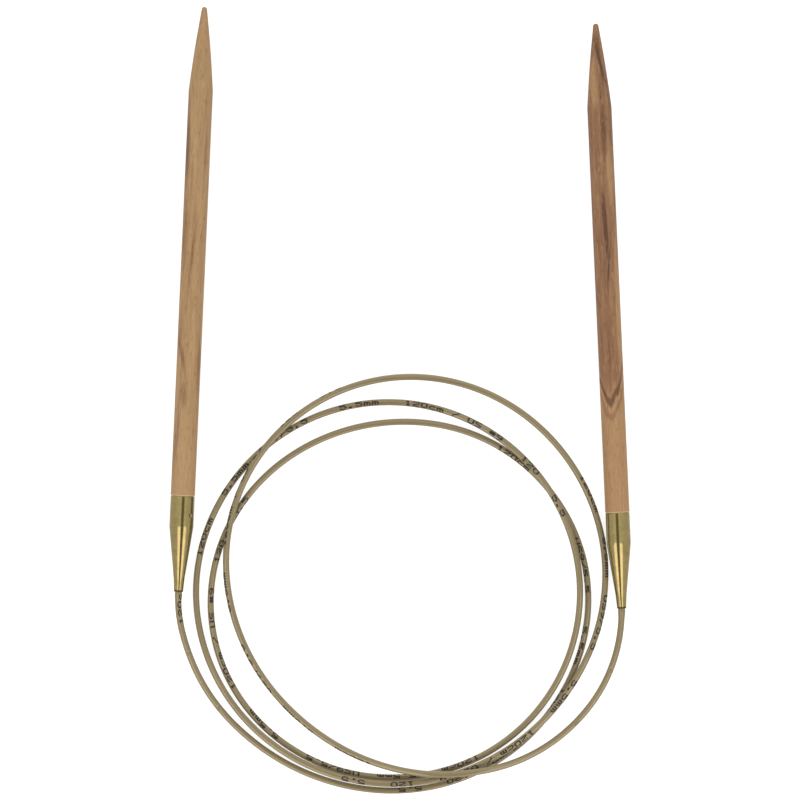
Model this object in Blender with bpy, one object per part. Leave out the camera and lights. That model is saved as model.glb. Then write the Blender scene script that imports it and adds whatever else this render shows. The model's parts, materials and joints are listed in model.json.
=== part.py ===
"""Circular knitting needle: two turned wooden needle tips joined by one long nylon cord.

Each needle is a wooden shaft glued by a tenon into a tapered brass ferrule. The cord enters
the ferrule's narrow mouth and is held inside by a crimped sleeve. The cord lies on the table
in three and a half loose turns. Metres, +Z up. The needles lie on z = 0 and point along +Y,
and the origin is the middle of the two needles' footprint.
"""

import math

import bmesh
import bpy
import numpy as np
from mathutils import Matrix, Vector

MM = 0.001

# Needle: every place along it is a distance from the ferrule's mouth.
NEEDLE_LENGTH = 131.4 * MM
SHAFT_RADIUS = 2.75 * MM
SHAFT_SIDES = 24
FERRULE_SIDES = 24
LEAN = math.radians(2.55)
SHOULDER_AT = 21.5 * MM
TAPER_AT = 112.6 * MM
TAPER_STEPS = 6
TAPER_BOW = 0.13 * MM
TIP_RADIUS = 0.62 * MM
CHAMFER = 0.12 * MM
TENON_RADIUS = 1.95 * MM
TENON_END_AT = 14.9 * MM
GAP = 0.3 * MM

# Ferrule
MOUTH_RADIUS = 1.05 * MM
MOUTH_LIP_AT = 3.0 * MM
LIP_RADIUS = 1.25 * MM
FERRULE_RADIUS = 2.72 * MM
CONE_END_AT = 14.6 * MM
SOCKET_RADIUS = TENON_RADIUS + GAP
CHAMBER_RADIUS = 1.4 * MM
CHAMBER_AT = 7.5 * MM
PASSAGE_RADIUS = 0.8 * MM
STAKE_AT = 17.2 * MM
STAKE_RADIUS = 0.45 * MM
STAKE_DEPTH = 0.18 * MM

# Crimped sleeve on the cord's end, inside the ferrule's chamber
SLEEVE_RADIUS = 1.15 * MM
SLEEVE_BORE = 0.8 * MM
SLEEVE_AT = CHAMBER_AT + GAP
SLEEVE_LENGTH = 5.0 * MM
CRIMPS = 3
CRIMP_DEPTH = 0.12 * MM
CRIMP_SHARE = 0.35

# Cord
CORD_RADIUS = 0.72 * MM
CORD_END_AT = 12.2 * MM
LIFT_AT = 7.0 * MM
SWING_AT = 21.0 * MM
CORD_POINTS = 84

# A facet of each shaft lies flat on the table.
AXIS_HEIGHT = SHAFT_RADIUS * math.cos(math.pi / SHAFT_SIDES)
FLOOR_HEIGHT = CORD_RADIUS + 0.03 * MM

# Side: where its ferrule's mouth is, its lean and how far its stake mark is turned from the top.
NEEDLES = {
    "left": {"mouth": (-49.75 * MM, -63.74 * MM), "lean": LEAN, "stake": math.radians(49)},
    "right": {"mouth": (49.75 * MM, -67.49 * MM), "lean": -LEAN, "stake": math.radians(67)},
}

# The cord's route from the left mouth to the right one, counter-clockwise seen from above:
# (degrees turned, millimetres from the coil's centre).
COIL_CENTRE = (0.43 * MM, -61.58 * MM)
ROUTE = (
    (186, 50.5), (195, 50.55), (210, 50.15), (225, 49.2), (240, 48.3), (255, 47.55), (270, 46.95),
    (285, 46.3), (300, 45.5), (330, 43.65), (360, 41.7), (390, 39.15), (420, 37.05), (450, 35.95),
    (480, 36.85), (510, 39.6), (540, 42.75), (570, 44.75), (600, 44.95), (615, 44.6), (630, 44.0),
    (660, 42.8), (690, 41.3), (720, 39.9), (750, 39.0), (780, 39.1), (810, 40.25), (840, 42.05),
    (870, 44.25), (900, 46.25), (930, 46.9), (960, 46.35), (990, 45.25), (1020, 44.45),
    (1050, 44.65), (1080, 45.7), (1110, 46.3), (1140, 46.55), (1170, 46.0), (1200, 44.25),
    (1230, 41.8), (1260, 39.3), (1290, 38.05), (1320, 38.9), (1335, 40.35), (1350, 42.25),
    (1360, 43.75), (1370, 45.4), (1380, 47.3), (1390, 48.95), (1400, 50.05), (1410, 50.7),
    (1420, 50.7), (1429, 50.1),
)
# Where a turn crosses an earlier one it lies on it, and it starts to climb this far to its side.
STACK_HEIGHT = 1.68 * MM
TOUCHING = 1.75 * MM
CLEAR = 3.4 * MM
HUMP_SPREAD = 20
SETTLING_ROUNDS = 3
SMOOTHING_ROUNDS = 8
DEGREES_A_POINT = 2
# Degrees of turn from each mouth over which the cord stays level, and by which it has landed.
LEFT_DESCENT = (0, 62)
RIGHT_DESCENT = (20, 82)


def clear_scene():
    for old in list(bpy.data.objects):
        bpy.data.objects.remove(old)


def material(name, colour, roughness, metallic=0.0):
    made = bpy.data.materials.new(name)
    made.use_nodes = True
    shader = made.node_tree.nodes["Principled BSDF"]
    shader.inputs["Base Color"].default_value = (*colour, 1)
    shader.inputs["Roughness"].default_value = roughness
    shader.inputs["Metallic"].default_value = metallic
    made.diffuse_color = (*colour, 1)
    return made


def arc(centre, radius, start, end, steps):
    """Points (along, out) on an arc about a centre, from one angle to another in degrees."""
    along, out = centre
    angles = [math.radians(start + (end - start) * i / steps) for i in range(steps + 1)]
    return [(along + radius * math.cos(a), out + radius * math.sin(a)) for a in angles]


def turned_mesh(name, profile, sides, closed=False):
    """A mesh turned about +Y from a profile of (along, radius).

    An open profile starts and ends with a flat face, and a closed one makes a tube.
    A facet, not an edge, faces -Z.
    """
    shape = bmesh.new()
    rings = []
    for along, radius in profile:
        ring = []
        for i in range(sides):
            angle = 2 * math.pi * (i + 0.5) / sides - math.pi / 2
            ring.append(shape.verts.new((radius * math.cos(angle), along, radius * math.sin(angle))))
        rings.append(ring)
    pairs = list(zip(rings, rings[1:]))
    if closed:
        pairs.append((rings[-1], rings[0]))
    for near, far in pairs:
        for i in range(sides):
            j = (i + 1) % sides
            shape.faces.new((near[i], near[j], far[j], far[i]))
    if not closed:
        shape.faces.new(rings[0])
        shape.faces.new(rings[-1])
    bmesh.ops.recalc_face_normals(shape, faces=shape.faces)
    mesh = bpy.data.meshes.new(name)
    shape.to_mesh(mesh)
    shape.free()
    mesh.shade_smooth()
    mesh.set_sharp_from_angle(angle=math.radians(30))
    return mesh


def place(name, mesh, parent, finish):
    made = bpy.data.objects.new(name, mesh)
    bpy.context.collection.objects.link(made)
    made.parent = parent
    mesh.materials.append(finish)
    return made


def shaft_profile():
    """From the tenon's end to the rounded tip: the taper bows out a little."""
    shoulder = [
        (TENON_END_AT, TENON_RADIUS),
        (SHOULDER_AT, TENON_RADIUS),
        (SHOULDER_AT, SHAFT_RADIUS - CHAMFER),
        (SHOULDER_AT + CHAMFER, SHAFT_RADIUS),
        (TAPER_AT, SHAFT_RADIUS),
    ]
    nose_at = NEEDLE_LENGTH - TIP_RADIUS
    taper = []
    for i in range(1, TAPER_STEPS):
        t = i / TAPER_STEPS
        radius = SHAFT_RADIUS + (TIP_RADIUS - SHAFT_RADIUS) * t + TAPER_BOW * math.sin(math.pi * t)
        taper.append((TAPER_AT + (nose_at - TAPER_AT) * t, radius))
    return shoulder + taper + arc((nose_at, 0), TIP_RADIUS, 90, 15, 4)


def ferrule_profile():
    """Closed: up the outside from the mouth, then back down through socket, chamber and passage."""
    end_at = SHOULDER_AT - GAP
    outside = [
        (0, MOUTH_RADIUS - CHAMFER),
        (CHAMFER, MOUTH_RADIUS),
        (MOUTH_LIP_AT, LIP_RADIUS),
        (CONE_END_AT, FERRULE_RADIUS),
        (end_at, FERRULE_RADIUS),
    ]
    inside = [
        (end_at, SOCKET_RADIUS),
        (TENON_END_AT - GAP, SOCKET_RADIUS),
        (TENON_END_AT - GAP, CHAMBER_RADIUS),
        (CHAMBER_AT, CHAMBER_RADIUS),
        (CHAMBER_AT, PASSAGE_RADIUS),
        (0, PASSAGE_RADIUS),
    ]
    return outside + inside


def sleeve_profile():
    """Closed: a short tube squeezed by a few crimps."""
    outside = [(SLEEVE_AT, SLEEVE_RADIUS)]
    pitch = SLEEVE_LENGTH / (CRIMPS + 1)
    half = CRIMP_SHARE * pitch
    for i in range(CRIMPS):
        middle = SLEEVE_AT + pitch * (i + 1)
        outside += [
            (middle - half, SLEEVE_RADIUS),
            (middle, SLEEVE_RADIUS - CRIMP_DEPTH),
            (middle + half, SLEEVE_RADIUS),
        ]
    end_at = SLEEVE_AT + SLEEVE_LENGTH
    return outside + [(end_at, SLEEVE_RADIUS), (end_at, SLEEVE_BORE), (SLEEVE_AT, SLEEVE_BORE)]


def stake_mark(ferrule, parent, angle):
    """Cuts the small round dent that a punch leaves when it locks the shaft in the ferrule."""
    mesh = bpy.data.meshes.new("stake_punch")
    shape = bmesh.new()
    bmesh.ops.create_uvsphere(shape, u_segments=12, v_segments=8, radius=STAKE_RADIUS)
    shape.to_mesh(mesh)
    shape.free()
    punch = bpy.data.objects.new(f"{ferrule.name}_punch", mesh)
    bpy.context.collection.objects.link(punch)
    punch.parent = parent
    out = FERRULE_RADIUS + STAKE_RADIUS - STAKE_DEPTH
    punch.location = (out * math.sin(angle), STAKE_AT, out * math.cos(angle))
    punch.hide_render = True
    punch.display_type = "WIRE"
    cut = ferrule.modifiers.new("stake", "BOOLEAN")
    cut.operation = "DIFFERENCE"
    cut.solver = "EXACT"
    cut.object = punch


def make_needle(side, finishes):
    """The shaft, ferrule and sleeve of one needle, under an empty at the ferrule's mouth."""
    spec = NEEDLES[side]
    needle = bpy.data.objects.new(f"{side}_needle", None)
    bpy.context.collection.objects.link(needle)
    needle.matrix_world = mouth_frame(side)
    turned = {
        "shaft": turned_mesh(f"{side}_shaft", shaft_profile(), SHAFT_SIDES),
        "ferrule": turned_mesh(f"{side}_ferrule", ferrule_profile(), FERRULE_SIDES, closed=True),
        "cord_sleeve": turned_mesh(f"{side}_cord_sleeve", sleeve_profile(), 16, closed=True),
    }
    made = {}
    for part, mesh in turned.items():
        made[part] = place(f"{side}_{part}", mesh, needle, finishes[part])
    stake_mark(made["ferrule"], needle, spec["stake"])


def mouth_frame(side):
    """The needle's own frame: origin at the ferrule's mouth, +Y towards the tip, +Z up."""
    x, y = NEEDLES[side]["mouth"]
    return Matrix.Translation((x, y, AXIS_HEIGHT)) @ Matrix.Rotation(-NEEDLES[side]["lean"], 4, "Z")


def on_axis(side, along):
    """The point this far from the mouth on the needle's axis, negative on the cord's side."""
    return np.array(mouth_frame(side) @ Vector((0, along, 0)))


def smooth_curve(knots, values, places):
    """A natural cubic spline through the values, read at the places."""
    knots = np.asarray(knots, float)
    values = np.asarray(values, float).reshape(len(knots), -1)
    step = np.diff(knots)
    slope = np.diff(values, axis=0) / step[:, None]
    system = np.eye(len(knots))
    bend = np.zeros_like(values)
    for i in range(1, len(knots) - 1):
        system[i, i - 1 : i + 2] = step[i - 1], 2 * (step[i - 1] + step[i]), step[i]
        bend[i] = 6 * (slope[i] - slope[i - 1])
    bend = np.linalg.solve(system, bend)
    i = np.clip(np.searchsorted(knots, places) - 1, 0, len(knots) - 2)
    near = (np.asarray(places) - knots[i])[:, None]
    width = step[i][:, None]
    far = width - near
    return (
        (bend[i] * far**3 + bend[i + 1] * near**3) / (6 * width)
        + (values[i] / width - bend[i] * width / 6) * far
        + (values[i + 1] / width - bend[i + 1] * width / 6) * near
    )


def eased(t):
    t = np.clip(t, 0, 1)
    return t * t * (3 - 2 * t)


def polar(point):
    """(degrees, distance) of a point about the coil's centre."""
    x, y = point[0] - COIL_CENTRE[0], point[1] - COIL_CENTRE[1]
    return math.degrees(math.atan2(y, x)) % 360, math.hypot(x, y)


def cord_route():
    """The centreline from mouth to mouth as an array of points a few degrees of turn apart."""
    first, last = polar(on_axis("left", 0)), polar(on_axis("right", 0))
    knots = [first[0]] + [turned for turned, _ in ROUTE] + [last[0] + 1080]
    radii = [first[1]] + [out * MM for _, out in ROUTE] + [last[1]]
    steps = round((knots[-1] - knots[0]) / DEGREES_A_POINT)
    turned = np.linspace(knots[0], knots[-1], steps + 1)
    radius = smooth_curve(knots, radii, turned)[:, 0]
    height = resting_height(turned, radius)
    angle = np.radians(turned)
    x = COIL_CENTRE[0] + radius * np.cos(angle)
    y = COIL_CENTRE[1] + radius * np.sin(angle)
    return np.column_stack([x, y, height])


def resting_height(turned, radius):
    """Each turn lies on the table, or on the earlier turns that it crosses in a long low hump."""
    height = np.full(len(turned), FLOOR_HEIGHT)
    for _ in range(SETTLING_ROUNDS):
        climb_over_earlier_turns(turned, radius, height)
        for _ in range(HUMP_SPREAD):
            height[1:-1] = np.maximum(height[1:-1], (height[:-2] + height[2:]) / 2)
    from_left = held_share(turned - turned[0], *LEFT_DESCENT)
    from_right = held_share(turned[-1] - turned, *RIGHT_DESCENT)
    held = FLOOR_HEIGHT + (AXIS_HEIGHT - FLOOR_HEIGHT) * np.maximum(from_left, from_right)
    height = np.maximum(height, held)
    for _ in range(SMOOTHING_ROUNDS):
        height[1:-1] = (height[:-2] + 2 * height[1:-1] + height[2:]) / 4
    return height


def held_share(turned_from_mouth, level, landed):
    """How much of the mouth's height the cord still has: all while level, none once landed."""
    return 1 - eased((turned_from_mouth - level) / (landed - level))


def climb_over_earlier_turns(turned, radius, height):
    for i, place in enumerate(turned):
        for earlier in np.arange(place - 360, turned[0], -360):
            top = STACK_HEIGHT + np.interp(earlier, turned[:i], height[:i])
            aside = abs(radius[i] - np.interp(earlier, turned[:i], radius[:i]))
            share = eased((CLEAR - aside) / (CLEAR - TOUCHING))
            height[i] = max(height[i], FLOOR_HEIGHT + (top - FLOOR_HEIGHT) * share)


def run_lengths(route):
    """How far along the route each of its points is."""
    return np.concatenate([[0], np.cumsum(np.linalg.norm(np.diff(route, axis=0), axis=1))])


def stretch(route, start, end, count):
    """Evenly spaced points between two distances along the route from the left mouth."""
    return smooth_curve(run_lengths(route), route, np.linspace(start, end, count))


def domed(points):
    """The points and radii that round off the cord's last end, centred on its last point."""
    last = points[-1]
    out = (last - points[-2]) / np.linalg.norm(last - points[-2])
    angles = [math.radians(a) for a in (35, 60, 78)]
    extra = [last + out * CORD_RADIUS * math.sin(a) for a in angles]
    return list(points) + extra, [1] * len(points) + [math.cos(a) for a in angles]


def tube(name, points, radii, finish):
    """A length of cord of filled round section through the points."""
    curve = bpy.data.curves.new(name, "CURVE")
    curve.dimensions = "3D"
    curve.bevel_depth = CORD_RADIUS
    curve.bevel_resolution = 2
    curve.use_fill_caps = True
    curve.materials.append(finish)
    line = curve.splines.new("POLY")
    line.points.add(len(points) - 1)
    for place, point, radius in zip(line.points, points, radii):
        place.co = (*point, 1)
        place.radius = radius
    made = bpy.data.objects.new(name, curve)
    bpy.context.collection.objects.link(made)


def make_cord_ends(side, route, finish):
    """The end held in the ferrule, then the lead that hinges on it and on the coil."""
    if side == "right":
        route = route[::-1]
    clear = CORD_RADIUS + GAP
    held = stretch(route, 0, LIFT_AT - clear, 5)
    held = [on_axis(side, CORD_END_AT), on_axis(side, CHAMBER_AT)] + list(held)
    tube(f"{side}_cord_end", held, [1] * len(held), finish)
    lead = stretch(route, SWING_AT - clear, LIFT_AT, 6)
    tube(f"{side}_cord_lead", *domed(lead), finish)


def make_cord(route, finish):
    """The long free stretch between the two swing pivots, round at both ends."""
    whole = run_lengths(route)[-1]
    points = stretch(route, SWING_AT, whole - SWING_AT, CORD_POINTS)
    points, radii = domed(points)
    points, more = domed(points[::-1])
    tube("cord", points, radii[::-1] + more[len(radii):], finish)


def main():
    clear_scene()
    brass = material("brass", (0.55, 0.43, 0.22), 0.22, metallic=1.0)
    nylon = material("nylon", (0.33, 0.27, 0.18), 0.38)
    sleeve = material("sleeve", (0.62, 0.62, 0.64), 0.3, metallic=1.0)
    wood = {
        "left": material("olive_wood_light", (0.47, 0.29, 0.14), 0.5),
        "right": material("olive_wood_dark", (0.39, 0.22, 0.11), 0.5),
    }
    route = cord_route()
    for side in NEEDLES:
        make_needle(side, {"shaft": wood[side], "ferrule": brass, "cord_sleeve": sleeve})
        make_cord_ends(side, route, nylon)
    make_cord(route, nylon)


main()
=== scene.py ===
"""The looks of the circular knitting needle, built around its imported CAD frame.

Two turned olive wood shafts in tapered brass ferrules, joined by a long khaki nylon cord with
a small dot-matrix size print that winds slowly round it. Metres, +Z up, the CAD's own frame.
"""

import json
import math

import bmesh
import bpy
import numpy as np
from mathutils import Matrix, Vector


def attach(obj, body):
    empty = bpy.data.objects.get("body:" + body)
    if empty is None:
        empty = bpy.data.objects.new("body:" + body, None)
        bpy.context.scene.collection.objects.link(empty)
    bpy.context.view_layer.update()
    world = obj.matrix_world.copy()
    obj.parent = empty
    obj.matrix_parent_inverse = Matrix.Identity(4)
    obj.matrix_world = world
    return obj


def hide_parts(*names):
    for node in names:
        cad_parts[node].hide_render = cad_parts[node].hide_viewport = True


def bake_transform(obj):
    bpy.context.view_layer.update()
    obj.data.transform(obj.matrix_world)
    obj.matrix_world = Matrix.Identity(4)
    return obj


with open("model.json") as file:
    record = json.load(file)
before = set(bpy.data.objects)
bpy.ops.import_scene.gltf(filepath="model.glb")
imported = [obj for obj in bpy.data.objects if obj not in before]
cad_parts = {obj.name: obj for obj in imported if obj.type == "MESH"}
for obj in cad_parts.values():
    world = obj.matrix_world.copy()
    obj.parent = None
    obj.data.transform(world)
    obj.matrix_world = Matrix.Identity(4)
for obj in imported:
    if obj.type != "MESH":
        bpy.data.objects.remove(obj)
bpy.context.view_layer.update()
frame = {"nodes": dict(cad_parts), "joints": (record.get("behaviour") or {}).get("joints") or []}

MM = 0.001
SIDES = ("left", "right")

# The CAD's sizes. Every place along a needle is a distance from its ferrule's mouth.
NEEDLE_LENGTH = 131.4 * MM
SHOULDER_AT = 21.5 * MM
TAPER_AT = 112.6 * MM
TAPER_STEPS = 14
TAPER_BOW = 0.13 * MM
TIP_RADIUS = 0.62 * MM
CHAMFER = 0.2 * MM
TENON_RADIUS = 1.95 * MM
TENON_END_AT = 14.9 * MM
GAP = 0.3 * MM
MOUTH_RADIUS = 1.05 * MM
MOUTH_HOLE = 0.9 * MM
MOUTH_LIP_AT = 3.0 * MM
LIP_RADIUS = 1.25 * MM
FERRULE_RADIUS = 2.72 * MM
FERRULE_END_AT = SHOULDER_AT - 0.04 * MM
CONE_END_AT = 14.6 * MM
CONE_BLEND = 0.35 * MM
SOCKET_RADIUS = TENON_RADIUS + GAP
CHAMBER_RADIUS = 1.4 * MM
CHAMBER_AT = 7.5 * MM
PASSAGE_RADIUS = 0.8 * MM
STAKE_AT = 17.2 * MM
STAKE_RADIUS = 0.48 * MM
STAKE_DEPTH = 0.16 * MM
STAKE_ANGLE = {"left": math.radians(49), "right": math.radians(67)}
TURNED_SIDES = 128

# The cord: where its bends begin and end is a distance outside a ferrule's mouth.
CORD_RADIUS = 0.72 * MM
CORD_SIDES = 24
CORD_RING_STEP = 1.4 * MM
LEAD_RING_STEP = 0.7 * MM
CORD_END_AT = 12.2 * MM
FINE_STEP = 0.25 * MM
LIFT_ZONE = 14 * MM
SWING_ZONE = 28 * MM
LIFT_BEND = (2.8 * MM, 11.2 * MM)
SWING_BEND = (16.8 * MM, 25.2 * MM)
FLARE = 0.13 * MM
FLARE_LENGTH = 2.8 * MM
FLOOR_HEIGHT = CORD_RADIUS + 0.03 * MM

# The cord's route as the CAD has it, from the left mouth to the right one:
# (degrees turned, millimetres from the coil's centre).
COIL_CENTRE = (0.43 * MM, -61.58 * MM)
ROUTE = (
    (186, 50.5), (195, 50.55), (210, 50.15), (225, 49.2), (240, 48.3), (255, 47.55), (270, 46.95),
    (285, 46.3), (300, 45.5), (330, 43.65), (360, 41.7), (390, 39.15), (420, 37.05), (450, 35.95),
    (480, 36.85), (510, 39.6), (540, 42.75), (570, 44.75), (600, 44.95), (615, 44.6), (630, 44.0),
    (660, 42.8), (690, 41.3), (720, 39.9), (750, 39.0), (780, 39.1), (810, 40.25), (840, 42.05),
    (870, 44.25), (900, 46.25), (930, 46.9), (960, 46.35), (990, 45.25), (1020, 44.45),
    (1050, 44.65), (1080, 45.7), (1110, 46.3), (1140, 46.55), (1170, 46.0), (1200, 44.25),
    (1230, 41.8), (1260, 39.3), (1290, 38.05), (1320, 38.9), (1335, 40.35), (1350, 42.25),
    (1360, 43.75), (1370, 45.4), (1380, 47.3), (1390, 48.95), (1400, 50.05), (1410, 50.7),
    (1420, 50.7), (1429, 50.1),
)
STACK_HEIGHT = 1.68 * MM
TOUCHING = 1.75 * MM
CLEAR = 3.4 * MM
HUMP_SPREAD = 20
SETTLING_ROUNDS = 3
SMOOTHING_ROUNDS = 8
DEGREES_A_POINT = 2
LEFT_DESCENT = (0, 62)
RIGHT_DESCENT = (20, 82)

# The print on the cord, read clockwise round the coil: its words, with their first letters'
# places in letter widths, and where along the cord each printing of them starts.
PRINT_WORDS = (
    (0, "120cm"), (8, "5.5mm"), (15, "US9/5.5"), (26, "5.5mm"), (34, "120cm"), (40, "/"),
    (42, "US"), (45, "#9"), (50, "120"), (56, "5.5"),
)
PRINT_STARTS = [place * MM for place in (7.2, 183, 354.5, 526.7, 700.7, 871.4)]
CHARACTER_PITCH = 1.85 * MM
COLUMN_PITCH = 0.3 * MM
ROW_PITCH = 0.165 * MM
DOT_LENGTH = 0.46 * MM
DOT_WIDTH = 0.32 * MM
DOT_HEIGHT = 0.012 * MM
DOT_SIDES = 8
# Which way the print faces: (millimetres along the cord, degrees from straight up, outward).
PRINT_FACES = (
    (0, -40), (70, -18), (105, -32), (145, -28), (185, -20), (245, -14), (300, -24), (335, -38),
    (355, -28), (420, 12), (440, 0), (480, 8), (525, 17), (590, 12), (650, 14), (675, 42),
    (700, 55), (735, 85), (770, 98), (800, 70), (830, 60), (855, 78), (949, 80),
)
FONT = {
    "0": (" ### ", "#   #", "#   #", "#   #", "#   #", "#   #", " ### "),
    "1": ("  #  ", " ##  ", "  #  ", "  #  ", "  #  ", "  #  ", " ### "),
    "2": (" ### ", "#   #", "    #", "  ## ", " #   ", "#    ", "#####"),
    "5": ("#####", "#    ", "#### ", "    #", "    #", "#   #", " ### "),
    "9": (" ### ", "#   #", "#   #", " ####", "    #", "   # ", " ##  "),
    ".": ("     ", "     ", "     ", "     ", "     ", " ##  ", " ##  "),
    "/": ("    #", "    #", "   # ", "  #  ", " #   ", "#    ", "#    "),
    "c": ("     ", "     ", " ####", "#    ", "#    ", "#    ", " ####"),
    "m": ("     ", "     ", "#### ", "# # #", "# # #", "# # #", "# # #"),
    "#": ("     ", " # # ", "#####", " # # ", "#####", " # # ", "     "),
    "U": ("#   #", "#   #", "#   #", "#   #", "#   #", "#   #", " ### "),
    "S": (" ####", "#    ", "#    ", " ### ", "    #", "    #", "#### "),
}

# Camera, floor and light tent, in metres. The bright panel's corners are those on the right.
CAMERA_PLACE = (-0.02 * MM, -20.73 * MM)
CAMERA_DISTANCE = 997.8 * MM
FLOOR_HALF = 6.0
TENT_HEIGHT = 0.29
SLIT_HALF = 0.066
SLIT_ENDS = (-0.9, 0.02)
BRIGHT_PANEL = (
    (0.082, -0.088), (0.2, -0.088), (0.26, -0.165), (0.5, -0.27), (0.8, -1.1), (0.082, -1.1),
)
GROUND_LIGHT = 0.88


# ---------------------------------------------------------------- frames and outlines


def needle_frame(side):
    """A needle's own frame: origin at the ferrule's mouth, +Y towards the tip, +Z up."""
    joint = next(j for j in frame["joints"] if j["name"] == f"{side}_lift")
    along = Vector((0, 0, 1)).cross(Vector(joint["axis"])).normalized()
    corners = [v.co for v in frame["nodes"][f"{side}_ferrule"].data.vertices]
    nearest = min(corner.dot(along) for corner in corners)
    rim = [corner for corner in corners if corner.dot(along) < nearest + 0.01 * MM]
    mouth = sum(rim, Vector()) / len(rim)
    turned = math.atan2(along.y, along.x) - math.pi / 2
    return Matrix.Translation(mouth) @ Matrix.Rotation(turned, 4, "Z")


NEEDLE = {side: needle_frame(side) for side in SIDES}
AXIS_HEIGHT = NEEDLE["left"].translation.z
SHAFT_RADIUS = AXIS_HEIGHT


def on_axis(side, along):
    """The point this far from the mouth on the needle's axis, negative on the cord's side."""
    return np.array(NEEDLE[side] @ Vector((0, along, 0)))


def arc(centre, radius, start, end, steps):
    """Points (along, out) on an arc about a centre, from one angle to another in degrees."""
    along, out = centre
    angles = [math.radians(start + (end - start) * i / steps) for i in range(steps + 1)]
    return [(along + radius * math.cos(a), out + radius * math.sin(a)) for a in angles]


def divided(start, end, steps):
    """Points (along, out) from start up to but not including end, evenly spaced."""
    return [
        (start[0] + (end[0] - start[0]) * i / steps, start[1] + (end[1] - start[1]) * i / steps)
        for i in range(steps)
    ]


def turned_mesh(name, profile, closed=False):
    """A mesh turned about +Y from a profile of (along, radius), first corner on top."""
    shape = bmesh.new()
    rings = []
    for along, radius in profile:
        ring = []
        for i in range(TURNED_SIDES):
            angle = 2 * math.pi * i / TURNED_SIDES
            place = (radius * math.sin(angle), along, radius * math.cos(angle))
            ring.append(shape.verts.new(place))
        rings.append(ring)
    pairs = list(zip(rings, rings[1:]))
    if closed:
        pairs.append((rings[-1], rings[0]))
    for near, far in pairs:
        for i in range(TURNED_SIDES):
            j = (i + 1) % TURNED_SIDES
            shape.faces.new((near[i], near[j], far[j], far[i]))
    if not closed:
        shape.faces.new(rings[0])
        shape.faces.new(rings[-1])
    bmesh.ops.recalc_face_normals(shape, faces=shape.faces)
    mesh = bpy.data.meshes.new(name)
    shape.to_mesh(mesh)
    shape.free()
    mesh.shade_smooth()
    mesh.set_sharp_from_angle(angle=math.radians(40))
    return mesh


def link(name, mesh, finish):
    made = bpy.data.objects.new(name, mesh)
    bpy.context.scene.collection.objects.link(made)
    mesh.materials.append(finish)
    return made


# ---------------------------------------------------------------- the cord's route


def smooth_curve(knots, values, places):
    """A natural cubic spline through the values, read at the places."""
    knots = np.asarray(knots, float)
    values = np.asarray(values, float).reshape(len(knots), -1)
    step = np.diff(knots)
    slope = np.diff(values, axis=0) / step[:, None]
    system = np.eye(len(knots))
    bend = np.zeros_like(values)
    for i in range(1, len(knots) - 1):
        system[i, i - 1 : i + 2] = step[i - 1], 2 * (step[i - 1] + step[i]), step[i]
        bend[i] = 6 * (slope[i] - slope[i - 1])
    bend = np.linalg.solve(system, bend)
    i = np.clip(np.searchsorted(knots, places) - 1, 0, len(knots) - 2)
    near = (np.asarray(places) - knots[i])[:, None]
    width = step[i][:, None]
    far = width - near
    return (
        (bend[i] * far**3 + bend[i + 1] * near**3) / (6 * width)
        + (values[i] / width - bend[i] * width / 6) * far
        + (values[i + 1] / width - bend[i + 1] * width / 6) * near
    )


def eased(t):
    t = np.clip(t, 0, 1)
    return t * t * (3 - 2 * t)


def polar(point):
    """(degrees, distance) of a point about the coil's centre."""
    x, y = point[0] - COIL_CENTRE[0], point[1] - COIL_CENTRE[1]
    return math.degrees(math.atan2(y, x)) % 360, math.hypot(x, y)


def cord_route():
    """(degrees turned, points) of the centreline from the left mouth to the right one."""
    first, last = polar(on_axis("left", 0)), polar(on_axis("right", 0))
    knots = [first[0]] + [turned for turned, _ in ROUTE] + [last[0] + 1080]
    radii = [first[1]] + [out * MM for _, out in ROUTE] + [last[1]]
    steps = round((knots[-1] - knots[0]) / DEGREES_A_POINT)
    turned = np.linspace(knots[0], knots[-1], steps + 1)
    radius = smooth_curve(knots, radii, turned)[:, 0]
    height = resting_height(turned, radius)
    angle = np.radians(turned)
    x = COIL_CENTRE[0] + radius * np.cos(angle)
    y = COIL_CENTRE[1] + radius * np.sin(angle)
    return turned, np.column_stack([x, y, height])


def resting_height(turned, radius):
    """Each turn lies on the table, or on the earlier turns that it crosses in a long low hump."""
    height = np.full(len(turned), FLOOR_HEIGHT)
    for _ in range(SETTLING_ROUNDS):
        climb_over_earlier_turns(turned, radius, height)
        for _ in range(HUMP_SPREAD):
            height[1:-1] = np.maximum(height[1:-1], (height[:-2] + height[2:]) / 2)
    from_left = held_share(turned - turned[0], *LEFT_DESCENT)
    from_right = held_share(turned[-1] - turned, *RIGHT_DESCENT)
    held = FLOOR_HEIGHT + (AXIS_HEIGHT - FLOOR_HEIGHT) * np.maximum(from_left, from_right)
    height = np.maximum(height, held)
    for _ in range(SMOOTHING_ROUNDS):
        height[1:-1] = (height[:-2] + 2 * height[1:-1] + height[2:]) / 4
    return height


def held_share(turned_from_mouth, level, landed):
    """How much of the mouth's height the cord still has: all while level, none once landed."""
    return 1 - eased((turned_from_mouth - level) / (landed - level))


def climb_over_earlier_turns(turned, radius, height):
    for i, place in enumerate(turned):
        for earlier in np.arange(place - 360, turned[0], -360):
            top = STACK_HEIGHT + np.interp(earlier, turned[:i], height[:i])
            aside = abs(radius[i] - np.interp(earlier, turned[:i], radius[:i]))
            share = eased((CLEAR - aside) / (CLEAR - TOUCHING))
            height[i] = max(height[i], FLOOR_HEIGHT + (top - FLOOR_HEIGHT) * share)


def run_lengths(route):
    """How far along the route each of its points is."""
    return np.concatenate([[0], np.cumsum(np.linalg.norm(np.diff(route, axis=0), axis=1))])


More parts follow.
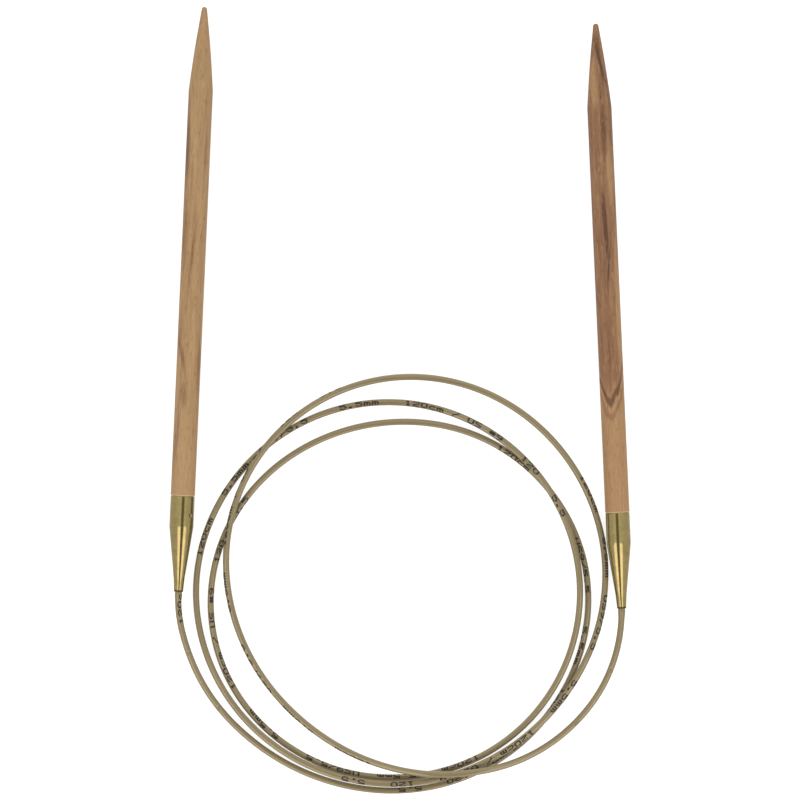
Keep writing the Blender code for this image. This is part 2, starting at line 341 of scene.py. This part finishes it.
class Cord:
    """The whole cord's line: places along it are distances from the left mouth."""

    def __init__(self):
        self.turned, route = cord_route()
        self.run = run_lengths(route)
        self.length = self.run[-1]
        inside_left = [on_axis("left", CORD_END_AT * share) for share in (1, 0.66, 0.33)]
        inside_right = [on_axis("right", CORD_END_AT * share) for share in (0.33, 0.66, 1)]
        line = np.vstack([inside_left, route, inside_right])
        knots = run_lengths(line) - CORD_END_AT
        self.fine = np.arange(knots[0], knots[-1], FINE_STEP)
        self.points = smooth_curve(knots, line, self.fine)

    def at(self, places):
        return np.column_stack([np.interp(places, self.fine, axis) for axis in self.points.T])

    def axes(self, places):
        """The cord's outward side and its upper side at the places."""
        ahead = self.at(np.asarray(places) + FINE_STEP) - self.at(np.asarray(places) - FINE_STEP)
        ahead /= np.linalg.norm(ahead, axis=1)[:, None]
        out = np.cross(ahead, (0, 0, 1))
        out /= np.linalg.norm(out, axis=1)[:, None]
        return out, np.cross(out, ahead)

    def radius(self, places):
        """A little thicker where it enters each ferrule, and slim enough inside to clear it."""
        from_mouth = np.minimum(places, self.length - places)
        outside = eased((from_mouth + 0.5 * MM) / (0.6 * MM))
        return CORD_RADIUS + FLARE * (1 - eased(from_mouth / FLARE_LENGTH)) * outside


CORD = Cord()


# ---------------------------------------------------------------- material helpers


class Nodes:
    """Shorthand for laying out a node tree: each call adds a node and returns its output."""

    def __init__(self, tree):
        self.tree = tree

    def add(self, kind, **settings):
        node = self.tree.nodes.new(kind)
        for name, value in settings.items():
            setattr(node, name, value)
        return node

    def feed(self, socket, value):
        if isinstance(value, bpy.types.NodeSocket):
            self.tree.links.new(value, socket)
        elif isinstance(value, tuple) and len(value) == 3 and socket.type == "RGBA":
            socket.default_value = (*value, 1)
        else:
            socket.default_value = value

    def math(self, operation, a, b=0.0):
        node = self.add("ShaderNodeMath", operation=operation)
        self.feed(node.inputs[0], a)
        self.feed(node.inputs[1], b)
        return node.outputs[0]

    def between(self, value, low, high):
        """0 below low, 1 above high, and a smooth step between them."""
        node = self.add("ShaderNodeMapRange", interpolation_type="SMOOTHSTEP")
        self.feed(node.inputs["Value"], value)
        node.inputs["From Min"].default_value = low
        node.inputs["From Max"].default_value = high
        return node.outputs["Result"]

    def band(self, value, middle, half_width, soft):
        """1 within half_width of the middle, falling smoothly to 0 over the soft edge."""
        aside = self.math("ABSOLUTE", self.math("SUBTRACT", value, middle))
        inside = self.between(aside, half_width, half_width + soft)
        return self.math("SUBTRACT", 1.0, inside)

    def patch(self, vector, along, across, half_length, half_width, slant):
        """1 in the middle of a lengthwise patch, falling to 0 at its soft edge. Millimetres."""
        node = self.add("ShaderNodeMapping", vector_type="TEXTURE")
        self.feed(node.inputs["Vector"], vector)
        node.inputs["Location"].default_value = (across * MM, along * MM, 0)
        node.inputs["Rotation"].default_value = (0, 0, math.radians(-slant))
        node.inputs["Scale"].default_value = (half_width * MM, half_length * MM, 1)
        away = self.add("ShaderNodeVectorMath", operation="LENGTH")
        self.feed(away.inputs[0], node.outputs[0])
        return self.math("SUBTRACT", 1.0, self.between(away.outputs["Value"], 0.2, 1.2))

    def mapped(self, vector, scale, location=(0, 0, 0), rotation=(0, 0, 0)):
        node = self.add("ShaderNodeMapping")
        self.feed(node.inputs["Vector"], vector)
        node.inputs["Scale"].default_value = scale
        node.inputs["Location"].default_value = location
        node.inputs["Rotation"].default_value = rotation
        return node.outputs[0]

    def noise(self, vector, scale, detail=4.0, roughness=0.55, distortion=0.0):
        node = self.add("ShaderNodeTexNoise")
        self.feed(node.inputs["Vector"], vector)
        node.inputs["Scale"].default_value = scale
        node.inputs["Detail"].default_value = detail
        node.inputs["Roughness"].default_value = roughness
        node.inputs["Distortion"].default_value = distortion
        return node.outputs["Fac"]

    def mix(self, share, a, b, blend="MIX"):
        node = self.add("ShaderNodeMix", data_type="RGBA", blend_type=blend)
        self.feed(node.inputs["Factor"], share)
        self.feed(node.inputs[6], a)
        self.feed(node.inputs[7], b)
        return node.outputs[2]

    def spread(self, value, low, high):
        """The value, from 0 to 1, spread from low to high."""
        node = self.add("ShaderNodeMapRange")
        self.feed(node.inputs["Value"], value)
        node.inputs["To Min"].default_value = low
        node.inputs["To Max"].default_value = high
        return node.outputs["Result"]

    def bump(self, height, distance, strength=1.0):
        node = self.add("ShaderNodeBump")
        node.inputs["Strength"].default_value = strength
        node.inputs["Distance"].default_value = distance
        self.feed(node.inputs["Height"], height)
        return node.outputs["Normal"]


def new_material(name, colour, roughness, metallic=0.0):
    """A material with its shader, and its node shorthand."""
    made = bpy.data.materials.new(name)
    made.use_nodes = True
    shader = made.node_tree.nodes["Principled BSDF"]
    shader.inputs["Base Color"].default_value = (*colour, 1)
    shader.inputs["Roughness"].default_value = roughness
    shader.inputs["Metallic"].default_value = metallic
    made.diffuse_color = (*colour, 1)
    return made, shader, Nodes(made.node_tree)


def object_place(nodes):
    return nodes.add("ShaderNodeTexCoord").outputs["Object"]


# ---------------------------------------------------------------- wood


WANDER = (1.1 * MM, 5 * MM, 1.1 * MM)
# Cream of the painted highlight on the shaft's shoulder chamfer.
SHOULDER_HIGHLIGHT_CREAM = (0.5, 0.37, 0.24)


def wood_material(name, tones, figure, patches):
    """Waxed olive wood in three tones: light, dark and darkest.

    figure gives the growth layers' darkness from 0 to 1, and patches are the flames that this
    one shaft shows: (along, across, half length, half width, slant, how much darker).
    """
    light, dark, darkest = tones
    made, shader, nodes = new_material(name, light, 0.5)
    place = object_place(nodes)
    wavy = wandering(nodes, place)
    layers = figure(nodes, wavy)
    for along, across, half_length, half_width, slant, amount in patches:
        flame = nodes.patch(wavy, along, across, half_length, half_width, slant)
        layers = nodes.math("ADD", layers, nodes.math("MULTIPLY", flame, amount))
    colour = nodes.mix(nodes.between(layers, 0.0, 1.0), light, dark)
    colour = nodes.mix(nodes.between(layers, 0.75, 1.5), colour, darkest)
    colour, relief = grain(nodes, place, colour)
    # The shoulder's chamfer gets a painted highlight, a cream line, over the wood's colour.
    nodes.feed(shader.inputs["Base Color"], painted_shoulder_highlight(nodes, place, colour))
    shine = nodes.noise(nodes.mapped(place, (1, 0.1, 1)), 900, detail=3)
    nodes.feed(shader.inputs["Roughness"], nodes.spread(shine, 0.4, 0.6))
    nodes.feed(shader.inputs["Normal"], nodes.bump(relief, 0.012 * MM, 0.6))
    shader.inputs["Specular IOR Level"].default_value = 0.2
    return made


def wandering(nodes, place):
    """The place shifted by soft noise, so that straight layers wander as in real wood."""
    wander = nodes.add("ShaderNodeTexNoise")
    nodes.feed(wander.inputs["Vector"], nodes.mapped(place, (1, 0.22, 1)))
    wander.inputs["Scale"].default_value = 420
    wander.inputs["Detail"].default_value = 3
    shift = nodes.add("ShaderNodeVectorMath", operation="MULTIPLY_ADD")
    nodes.feed(shift.inputs[0], wander.outputs["Color"])
    shift.inputs[1].default_value = WANDER
    shift.inputs[2].default_value = [-reach / 2 for reach in WANDER]
    wavy = nodes.add("ShaderNodeVectorMath", operation="ADD")
    nodes.feed(wavy.inputs[0], place)
    nodes.feed(wavy.inputs[1], shift.outputs[0])
    return wavy.outputs[0]


def painted_shoulder_highlight(nodes, place, colour):
    """Painted highlight: a narrow cream line on the chamfer where the shaft meets its ferrule, standing
    for light caught by the chamfer.
    """
    xyz = nodes.add("ShaderNodeSeparateXYZ")
    nodes.feed(xyz.inputs[0], place)
    waxed = nodes.between(xyz.outputs["Y"], SHOULDER_AT + 0.12 * MM, SHOULDER_AT + 0.34 * MM)
    # Share of the painted highlight, up to 0.75, on the chamfer just past the shoulder.
    highlight_share = nodes.math("MULTIPLY", nodes.math("SUBTRACT", 1.0, waxed), 0.75)
    return nodes.mix(highlight_share, colour, SHOULDER_HIGHLIGHT_CREAM)


def grain(nodes, place, colour):
    """Fine fibres, short dark pores and pale flecks over the colour, and their relief."""
    fibres = nodes.noise(nodes.mapped(place, (1, 0.05, 1)), 2600, detail=5, roughness=0.65)
    fibre_tone = nodes.between(fibres, 0.35, 0.68)
    colour = nodes.mix(nodes.math("MULTIPLY", fibre_tone, 0.32), colour, (0.75, 0.70, 0.64), "MULTIPLY")
    pores = nodes.noise(nodes.mapped(place, (1, 0.16, 1)), 3000, detail=3, roughness=0.6)
    pore_tone = nodes.between(pores, 0.56, 0.7)
    colour = nodes.mix(nodes.math("MULTIPLY", pore_tone, 0.75), colour, (0.66, 0.58, 0.52), "MULTIPLY")
    flecks = nodes.noise(nodes.mapped(place, (1, 0.13, 1), location=(3, 5, 1)), 2800, detail=3)
    fleck_tone = nodes.between(flecks, 0.56, 0.7)
    colour = nodes.mix(nodes.math("MULTIPLY", fleck_tone, 0.2), colour, (0.52, 0.4, 0.25))
    return colour, nodes.math("SUBTRACT", fibre_tone, nodes.math("MULTIPLY", pore_tone, 0.9))


def streaks(nodes, place, scale, stretch, low, high, offset=0.0):
    """Lengthwise streaks as a share from 0 to 1."""
    spread = nodes.mapped(place, (1, stretch, 1), location=(offset, 0, offset))
    return nodes.between(nodes.noise(spread, scale, detail=4), low, high)


def even_figure(nodes, place):
    """Soft lengthwise streaks, as on the lighter shaft."""
    broad = streaks(nodes, place, 420, 0.07, 0.38, 0.66)
    fine = streaks(nodes, place, 1300, 0.04, 0.4, 0.7, offset=1.7)
    return nodes.math("ADD", nodes.math("MULTIPLY", broad, 0.3), nodes.math("MULTIPLY", fine, 0.25))


def ringed_figure(nodes, place):
    """Growth layers that meet the surface in nested Vs, and streaked heartwood beyond them."""
    xyz = nodes.add("ShaderNodeSeparateXYZ")
    nodes.feed(xyz.inputs[0], place)
    aside = nodes.math("ABSOLUTE", nodes.math("ADD", xyz.outputs["X"], 0.5 * MM))
    steep = nodes.math("MULTIPLY", nodes.math("MULTIPLY", aside, aside), 0.78 / MM)
    lag = nodes.math("ADD", nodes.math("MULTIPLY", aside, 0.3), steep)
    layer = nodes.math("SUBTRACT", xyz.outputs["Y"], lag)
    rings = nodes.math("MULTIPLY", nodes.band(layer, 46.7 * MM, 0.4 * MM, 1.3 * MM), 1.1)
    for middle, amount in ((43.2, 0.55), (49.2, 0.4)):
        ring = nodes.band(layer, middle * MM, 0.3 * MM, 1.2 * MM)
        rings = nodes.math("MAXIMUM", rings, nodes.math("MULTIPLY", ring, amount))
    heart = nodes.between(layer, 45.5 * MM, 50 * MM)
    broad = streaks(nodes, place, 520, 0.05, 0.36, 0.64)
    fine = streaks(nodes, place, 1500, 0.035, 0.4, 0.7, offset=2.3)
    streaked = nodes.math("ADD", nodes.math("MULTIPLY", broad, 0.35), nodes.math("MULTIPLY", fine, 0.3))
    heartwood = nodes.math("MULTIPLY", heart, nodes.math("ADD", streaked, 0.5))
    sapwood = nodes.math("MULTIPLY", streaked, 0.35)
    return nodes.math("MAXIMUM", nodes.math("ADD", rings, sapwood), heartwood)


LIGHT_TONES = ((0.345, 0.22, 0.106), (0.238, 0.134, 0.066), (0.13, 0.07, 0.046))
DARK_TONES = ((0.322, 0.19, 0.091), (0.21, 0.106, 0.054), (0.1, 0.049, 0.028))
# The flames of each shaft: along, across (right of the middle), half length, half width,
# slant in degrees, and how much darker, all in millimetres from the ferrule's mouth.
LEFT_PATCHES = (
    (31, -2.2, 8, 0.7, 0, 0.45), (38, -1.6, 7, 0.5, 0, 0.4), (44.5, -0.6, 4, 1.0, 0, 0.6),
    (52.5, -1.5, 5, 0.55, -14, 0.7), (58, -2.3, 6, 0.6, 0, 0.5), (51, 2.3, 8, 0.35, 0, 0.7),
    (54, 0.8, 8, 0.9, 0, -0.35), (71, -0.5, 9, 0.5, 3, 0.45), (80, -0.1, 9, 0.6, 0, 0.5),
    (79, -2.0, 10, 0.6, 0, 0.55), (85, 1.6, 6, 0.6, 4, -0.3), (100, -2.4, 12, 0.7, 0, 0.85),
    (92, -0.8, 6, 0.5, 0, 0.25), (98, 1.7, 9, 0.4, 0, 0.45), (109, 1.3, 5, 0.4, 3, 0.25),
)
RIGHT_PATCHES = (
    (29, -1.8, 6, 0.7, 0, 0.15), (33, 1.2, 6, 0.7, 0, 0.15), (66, 2.4, 14, 1.2, 0, -1.0),
    (70, -2.0, 5, 0.5, 0, 0.3), (76, 0.4, 8, 0.35, 4, 0.5), (84, 0.0, 6, 0.5, 0, 0.7),
    (80, 2.0, 9, 0.5, 3, -0.5), (90, -0.2, 5, 0.6, 0, 0.5), (97, -2.1, 7, 0.6, 0, -0.35),
    (97, 1.6, 10, 0.9, 0, -0.6), (107, 0.5, 8, 0.7, 0, 0.35), (118, -1.3, 7, 1.2, -3, -0.8),
    (121, 0.9, 7, 0.45, -9, 0.6), (126, 0.2, 4, 0.8, -8, 0.5), (114.3, 0.1, 0.5, 0.15, 0, 0.9),
)


# ---------------------------------------------------------------- other materials


def brass_material():
    made, shader, nodes = new_material("polished_brass", (0.34, 0.265, 0.11), 0.16, metallic=1.0)
    place = object_place(nodes)
    tarnish = nodes.noise(place, 700, detail=4, roughness=0.6)
    colour = nodes.mix(nodes.between(tarnish, 0.35, 0.75), (0.35, 0.275, 0.118), (0.29, 0.225, 0.09))
    drawn = nodes.noise(nodes.mapped(place, (1, 0.02, 1)), 9000, detail=3)
    lines = nodes.math("MULTIPLY", nodes.between(drawn, 0.55, 0.8), 0.25)
    colour = nodes.mix(lines, colour, (0.25, 0.19, 0.075))
    xyz = nodes.add("ShaderNodeSeparateXYZ")
    nodes.feed(xyz.inputs[0], place)
    # Painted shade: the ferrule's lip at the mouth, its first 0.2 to 0.5 mm, is painted near black to
    # stand for the shadowed gap round the cord.
    rim = nodes.math("SUBTRACT", 1.0, nodes.between(xyz.outputs["Y"], 0.2 * MM, 0.5 * MM))
    colour = nodes.mix(rim, colour, (0.06, 0.04, 0.02))
    nodes.feed(shader.inputs["Base Color"], colour)
    worn = nodes.math("MULTIPLY", nodes.math("ADD", drawn, tarnish), 0.5)
    nodes.feed(shader.inputs["Roughness"], nodes.spread(worn, 0.08, 0.2))
    nodes.feed(shader.inputs["Normal"], nodes.bump(drawn, 0.002 * MM, 0.4))
    return made


def sleeve_material():
    made, shader, nodes = new_material("crimped_aluminium", (0.62, 0.62, 0.64), 0.35, metallic=1.0)
    place = object_place(nodes)
    wear = nodes.noise(place, 2500, detail=5)
    colour = nodes.mix(nodes.between(wear, 0.4, 0.7), (0.66, 0.66, 0.68), (0.5, 0.5, 0.52))
    nodes.feed(shader.inputs["Base Color"], colour)
    nodes.feed(shader.inputs["Normal"], nodes.bump(wear, 0.01 * MM, 0.4))
    return made


def nylon_material():
    """Smooth khaki nylon with faint lines along it from the die that it was drawn through."""
    made, shader, nodes = new_material("khaki_nylon", (0.26, 0.2, 0.115), 0.2)
    place = nodes.add("ShaderNodeAttribute", attribute_name="cord_place").outputs["Vector"]
    lines = nodes.noise(nodes.mapped(place, (1, 1, 0.01)), 4200, detail=3)
    clouds = nodes.noise(nodes.mapped(place, (1, 1, 0.15)), 600, detail=3)
    colour = nodes.mix(nodes.between(clouds, 0.3, 0.7), (0.188, 0.147, 0.074), (0.166, 0.13, 0.064))
    line_tone = nodes.math("MULTIPLY", nodes.between(lines, 0.4, 0.75), 0.2)
    colour = nodes.mix(line_tone, colour, (0.118, 0.09, 0.044))
    shader.inputs["Specular Tint"].default_value = (1.0, 0.92, 0.72, 1)
    nodes.feed(shader.inputs["Base Color"], colour)
    nodes.feed(shader.inputs["Roughness"], nodes.spread(clouds, 0.08, 0.14))
    shader.inputs["IOR"].default_value = 1.68
    nodes.feed(shader.inputs["Normal"], nodes.bump(lines, 0.003 * MM, 0.4))
    return made


def ink_material():
    made, shader, nodes = new_material("black_ink", (0.02, 0.02, 0.022), 0.8)
    shader.inputs["Specular IOR Level"].default_value = 0.1
    place = nodes.add("ShaderNodeAttribute", attribute_name="cord_place").outputs["Vector"]
    worn = nodes.noise(place, 6000, detail=3)
    colour = nodes.mix(nodes.between(worn, 0.35, 0.75), (0.014, 0.014, 0.016), (0.05, 0.045, 0.04))
    nodes.feed(shader.inputs["Base Color"], colour)
    return made


# ---------------------------------------------------------------- needles


def shaft_profile():
    """From the tenon's end to the rounded tip: the taper bows out a little."""
    tenon = divided((TENON_END_AT, TENON_RADIUS), (SHOULDER_AT, TENON_RADIUS), 6)
    shoulder = [(SHOULDER_AT, TENON_RADIUS), (SHOULDER_AT, SHAFT_RADIUS - 2 * CHAMFER)]
    edge = arc((SHOULDER_AT + CHAMFER, SHAFT_RADIUS - CHAMFER), CHAMFER, 180, 90, 6)
    body = divided((SHOULDER_AT + 2 * CHAMFER, SHAFT_RADIUS), (TAPER_AT, SHAFT_RADIUS), 60)
    nose_at = NEEDLE_LENGTH - TIP_RADIUS
    taper = []
    for i in range(TAPER_STEPS):
        t = i / TAPER_STEPS
        radius = SHAFT_RADIUS + (TIP_RADIUS - SHAFT_RADIUS) * t + TAPER_BOW * math.sin(math.pi * t)
        taper.append((TAPER_AT + (nose_at - TAPER_AT) * t, radius))
    return tenon + shoulder + edge + body + taper + arc((nose_at, 0), TIP_RADIUS, 90, 4, 10)


def ferrule_profile():
    """Closed: up the outside from the mouth, then back down through socket, chamber and passage."""
    lip = 0.1 * MM
    slope = (FERRULE_RADIUS - LIP_RADIUS) / (CONE_END_AT - MOUTH_LIP_AT)
    mouth = arc((lip, MOUTH_RADIUS - lip), lip, 225, 90, 5)
    neck = divided((2 * lip, MOUTH_RADIUS), (MOUTH_LIP_AT, LIP_RADIUS), 4)
    before = (CONE_END_AT - CONE_BLEND, FERRULE_RADIUS - slope * CONE_BLEND)
    cone = divided((MOUTH_LIP_AT, LIP_RADIUS), before, 16)
    blend = [before]
    for t in (0.25, 0.5, 0.75):
        along = CONE_END_AT + CONE_BLEND * (2 * t - 1)
        blend.append((along, FERRULE_RADIUS - slope * CONE_BLEND * (1 - t) ** 2))
    straight_from = (CONE_END_AT + CONE_BLEND, FERRULE_RADIUS)
    dense_from, dense_to = STAKE_AT - 0.9 * MM, STAKE_AT + 0.9 * MM
    straight = divided(straight_from, (dense_from, FERRULE_RADIUS), 4)
    straight += divided((dense_from, FERRULE_RADIUS), (dense_to, FERRULE_RADIUS), 18)
    straight += divided((dense_to, FERRULE_RADIUS), (FERRULE_END_AT - lip, FERRULE_RADIUS), 8)
    end = arc((FERRULE_END_AT - lip, FERRULE_RADIUS - lip), lip, 90, 0, 5)
    inside = [
        (FERRULE_END_AT, SOCKET_RADIUS),
        (TENON_END_AT - GAP, SOCKET_RADIUS),
        (TENON_END_AT - GAP, CHAMBER_RADIUS),
        (CHAMBER_AT, CHAMBER_RADIUS),
        (CHAMBER_AT, PASSAGE_RADIUS),
        (0.5 * MM, PASSAGE_RADIUS),
        (0.12 * MM, MOUTH_HOLE - 0.04 * MM),
    ]
    return mouth + neck + cone + blend + straight + end + inside


def press_stake(mesh, angle):
    """Dents the ferrule where the punch struck, with a slightly raised rim."""
    out = Vector((math.sin(angle), 0, math.cos(angle)))
    middle = out * FERRULE_RADIUS + Vector((0, STAKE_AT, 0))
    for vertex in mesh.vertices:
        if math.hypot(vertex.co.x, vertex.co.z) < FERRULE_RADIUS - 0.1 * MM:
            continue
        away = (vertex.co - middle).length / STAKE_RADIUS
        if away < 1:
            vertex.co -= out * STAKE_DEPTH * (1 - away**2) ** 0.8
        elif away < 1.6:
            vertex.co += out * STAKE_DEPTH * 0.12 * math.sin(math.pi * (away - 1) / 0.6) ** 2


def make_needle(side, finishes):
    """The wooden shaft and the brass ferrule of one needle, and the CAD sleeve's finish."""
    shaft = link(f"{side}_wood", turned_mesh(f"{side}_wood", shaft_profile()), finishes[f"{side}_wood"])
    mesh = turned_mesh(f"{side}_brass", ferrule_profile(), closed=True)
    press_stake(mesh, STAKE_ANGLE[side])
    ferrule = link(f"{side}_brass", mesh, finishes["brass"])
    for piece, node, slot in ((shaft, "shaft", f"{side}_wood"), (ferrule, "ferrule", "ferrule_brass")):
        piece.matrix_world = NEEDLE[side]
        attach(piece, f"{side}_needle")
        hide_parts(f"{side}_{node}")
    sleeve = frame["nodes"][f"{side}_cord_sleeve"]
    sleeve.data.materials.clear()
    sleeve.data.materials.append(finishes["sleeve"])


# ---------------------------------------------------------------- cord and print


def tube_mesh(name, start, end, ring_step):
    """The cord's surface between two places along it, closed at both ends."""
    count = max(8, round((end - start) / ring_step))
    places = np.linspace(start, end, count + 1)
    radii = CORD.radius(places)
    middles = CORD.at(places)
    out, up = CORD.axes(places)
    shape = bmesh.new()
    tag = shape.verts.layers.float_vector.new("cord_place")
    rings = []
    for place, radius, middle, o, u in zip(places, radii, middles, out, up):
        ring = []
        for i in range(CORD_SIDES):
            angle = 2 * math.pi * i / CORD_SIDES
            vertex = shape.verts.new(middle + radius * (math.sin(angle) * o + math.cos(angle) * u))
            vertex[tag] = (CORD_RADIUS * math.sin(angle), CORD_RADIUS * math.cos(angle), place)
            ring.append(vertex)
        rings.append(ring)
    for near, far in zip(rings, rings[1:]):
        for i in range(CORD_SIDES):
            j = (i + 1) % CORD_SIDES
            shape.faces.new((near[i], near[j], far[j], far[i])).smooth = True
    shape.faces.new(rings[0])
    shape.faces.new(rings[-1])
    bmesh.ops.recalc_face_normals(shape, faces=shape.faces)
    mesh = bpy.data.meshes.new(name)
    shape.to_mesh(mesh)
    shape.free()
    return mesh


def print_dots():
    """(place along the cord, distance above the print's middle line) of every dot of the print."""
    dots = []
    for start in PRINT_STARTS:
        for cell, word in PRINT_WORDS:
            for i, letter in enumerate(word):
                at = start - (cell + i) * CHARACTER_PITCH
                for row, line in enumerate(FONT.get(letter, ())):
                    for column, mark in enumerate(line):
                        if mark == "#":
                            dots.append((at - column * COLUMN_PITCH, (3 - row) * ROW_PITCH))
    return sorted(dots)


PRINT_DOTS = print_dots()


def print_mesh(name, start, end):
    """The print between two places along the cord, in low beads of ink; None if it is blank."""
    dots = np.array([dot for dot in PRINT_DOTS if start <= dot[0] < end])
    if not len(dots):
        return None
    knots, faces = np.array(PRINT_FACES, float).T
    facing = np.radians(np.interp(dots[:, 0], knots * MM, faces))
    around = [2 * math.pi * i / DOT_SIDES for i in range(DOT_SIDES)]
    rim = [(math.cos(a) * DOT_LENGTH / 2, math.sin(a) * DOT_WIDTH / 2, -DOT_HEIGHT) for a in around]
    brow = [(x * 0.85, y * 0.85, DOT_HEIGHT) for x, y, _ in rim]
    corners = np.array(rim + brow)
    places = (dots[:, :1] + corners[:, 0]).ravel()
    angle = (facing[:, None] + (dots[:, 1:] + corners[:, 1]) / CORD_RADIUS).ravel()
    radius = CORD.radius(places) + np.tile(corners[:, 2], len(dots))
    out, up = CORD.axes(places)
    aside, above = np.sin(angle)[:, None], np.cos(angle)[:, None]
    points = CORD.at(places) + radius[:, None] * (aside * out + above * up)
    faces = []
    for first in range(0, len(points), 2 * DOT_SIDES):
        low = [first + i for i in range(DOT_SIDES)]
        high = [corner + DOT_SIDES for corner in low]
        faces += [low, high[::-1]]
        for i in range(DOT_SIDES):
            j = (i + 1) % DOT_SIDES
            faces.append([low[j], low[i], high[i], high[j]])
    tags = np.column_stack([CORD_RADIUS * aside, CORD_RADIUS * above, places])
    return tagged_mesh(name, points, faces, tags)


def tagged_mesh(name, points, faces, tags):
    """A smooth mesh whose vertices keep their place on the cord, for its materials."""
    mesh = bpy.data.meshes.new(name)
    mesh.from_pydata([tuple(point) for point in points], [], faces)
    tag = mesh.attributes.new("cord_place", "FLOAT_VECTOR", "POINT")
    tag.data.foreach_set("vector", tags.astype(np.float32).ravel())
    mesh.shade_smooth()
    mesh.set_sharp_from_angle(angle=math.radians(60))
    return mesh


def lead_zone(side, near, far):
    """Two places along the cord, given as distances from one side's mouth, in order."""
    if side == "left":
        return near, far
    return CORD.length - far, CORD.length - near


def from_mouth(side, distance):
    """The point on the cord's line this far outside one side's mouth."""
    place = distance if side == "left" else CORD.length - distance
    return CORD.at([place])[0]


def make_leads(side, nylon, ink):
    """The cord near one ferrule, in two pieces: from inside the needle out to the lead, and from the
    lead to the coil, each with any print on it.
    """
    zones = {
        "end": (-CORD_END_AT, LIFT_ZONE, LIFT_BEND, f"{side}_lead", f"{side}_needle"),
        "lead": (LIFT_ZONE, SWING_ZONE, SWING_BEND, "coil", f"{side}_lead"),
    }
    made = []
    for part, (near, far, bend, outer, inner) in zones.items():
        start, end = lead_zone(side, near, far)
        tube = tube_mesh(f"{side}_nylon_{part}", start, end, LEAD_RING_STEP)
        piece = link(f"{side}_nylon_{part}", tube, nylon)
        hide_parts(f"{side}_cord_{part}")
        bending = [piece]
        dots = print_mesh(f"{side}_print_{part}", *lead_zone(side, max(near, 0.6 * MM), far))
        if dots:
            bending.append(link(f"{side}_print_{part}", dots, ink))
        for bent in bending:
            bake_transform(bent)
            made.append(bent)
    return made


def make_cord(finishes):
    nylon, ink = finishes["nylon"], finishes["ink"]
    pieces = []
    for side in SIDES:
        pieces += make_leads(side, nylon, ink)
    start, end = SWING_ZONE, CORD.length - SWING_ZONE
    cord = link("nylon_cord", tube_mesh("nylon_cord", start, end, CORD_RING_STEP), nylon)
    dots = link("nylon_cord_print", print_mesh("nylon_cord_print", start, end), ink)
    for piece in (cord, dots):
        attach(piece, "coil")
    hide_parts("cord")


# ---------------------------------------------------------------- camera, light and floor


def make_camera():
    """Straight above the needle, with its cord's side at the picture's lower edge."""
    made = bpy.data.cameras.new("camera")
    made.lens = 200
    made.sensor_width = 36
    made.clip_end = 50
    camera = bpy.data.objects.new("camera", made)
    bpy.context.scene.collection.objects.link(camera)
    camera.location = (*CAMERA_PLACE, AXIS_HEIGHT + CAMERA_DISTANCE)
    bpy.context.scene.camera = camera


def make_floor():
    """A pale floor that glows a little, as a light table does, so that shadows stay faint."""
    made, shader, nodes = new_material("pale_floor", (0.4, 0.4, 0.4), 0.9)
    shader.inputs["Specular IOR Level"].default_value = 0.0
    shader.inputs["Emission Color"].default_value = (1, 1, 1, 1)
    shader.inputs["Emission Strength"].default_value = 0.78
    ends = (-FLOOR_HALF, FLOOR_HALF)
    corners = [(ends[0], ends[0]), (ends[1], ends[0]), (ends[1], ends[1]), (ends[0], ends[1])]
    floor = panel("floor", corners, -0.02 * MM, made)
    floor.visible_glossy = False
    floor.visible_diffuse = False


def panel(name, corners, height, finish):
    """A flat piece of floor or tent from its corners' x and y, in metres."""
    mesh = bpy.data.meshes.new(name)
    mesh.from_pydata([(x, y, height) for x, y in corners], [], [range(len(corners))])
    return link(name, mesh, finish)


def glowing(name, radiance):
    made, shader, _ = new_material(name, (0, 0, 0), 1.0)
    shader.inputs["Specular IOR Level"].default_value = 0.0
    shader.inputs["Emission Color"].default_value = (1.0, 0.96, 0.93, 1)
    shader.inputs["Emission Strength"].default_value = radiance
    return made


def make_light():
    """A light tent: pale walls, a little brighter overhead and beyond the tips."""
    world = bpy.data.worlds.new("tent")
    bpy.context.scene.world = world
    world.use_nodes = True
    nodes = Nodes(world.node_tree)
    xyz = nodes.add("ShaderNodeSeparateXYZ")
    nodes.feed(xyz.inputs[0], nodes.add("ShaderNodeTexCoord").outputs["Generated"])
    up = nodes.math("MAXIMUM", xyz.outputs["Z"], 0.0)
    overhead = nodes.math("MULTIPLY", nodes.math("POWER", up, 3.0), 0.2)
    sky = nodes.between(xyz.outputs["Z"], -0.02, 0.04)
    wall = nodes.math("ADD", nodes.math("MULTIPLY", sky, 0.9 - GROUND_LIGHT), GROUND_LIGHT)
    behind = nodes.math("MULTIPLY", nodes.math("MAXIMUM", xyz.outputs["Y"], 0.0), 0.6)
    wall = nodes.math("ADD", wall, behind)
    background = world.node_tree.nodes["Background"]
    nodes.feed(background.inputs["Strength"], nodes.math("ADD", overhead, wall))
    background.inputs["Color"].default_value = (1, 1, 1, 1)
    bpy.context.scene.view_settings.view_transform = "Standard"
    bpy.context.scene.view_settings.look = "None"


def hang_panels():
    """A dark slit for the camera overhead and a bright panel at each side of it."""
    dark, bright = glowing("slit_dark", 0.3), glowing("panel_bright", 2.8)
    (near, far), half = SLIT_ENDS, SLIT_HALF
    slit = [(-half, near), (half, near), (half, far), (-half, far)]
    hung = [panel("slit", slit, TENT_HEIGHT, dark)]
    for side in (-1, 1):
        corners = [(side * x, y) for x, y in BRIGHT_PANEL]
        hung.append(panel("bright_panel", corners, TENT_HEIGHT, bright))
    for piece in hung:
        piece.visible_camera = False


# ---------------------------------------------------------------- all of it


def main():
    make_camera()
    finishes = {
        "left_wood": wood_material("light_olive_wood", LIGHT_TONES, even_figure, LEFT_PATCHES),
        "right_wood": wood_material("dark_olive_wood", DARK_TONES, ringed_figure, RIGHT_PATCHES),
        "brass": brass_material(),
        "sleeve": sleeve_material(),
        "nylon": nylon_material(),
        "ink": ink_material(),
    }
    make_cord(finishes)
    for side in SIDES:
        make_needle(side, finishes)
    make_floor()
    make_light()
    hang_panels()


main()
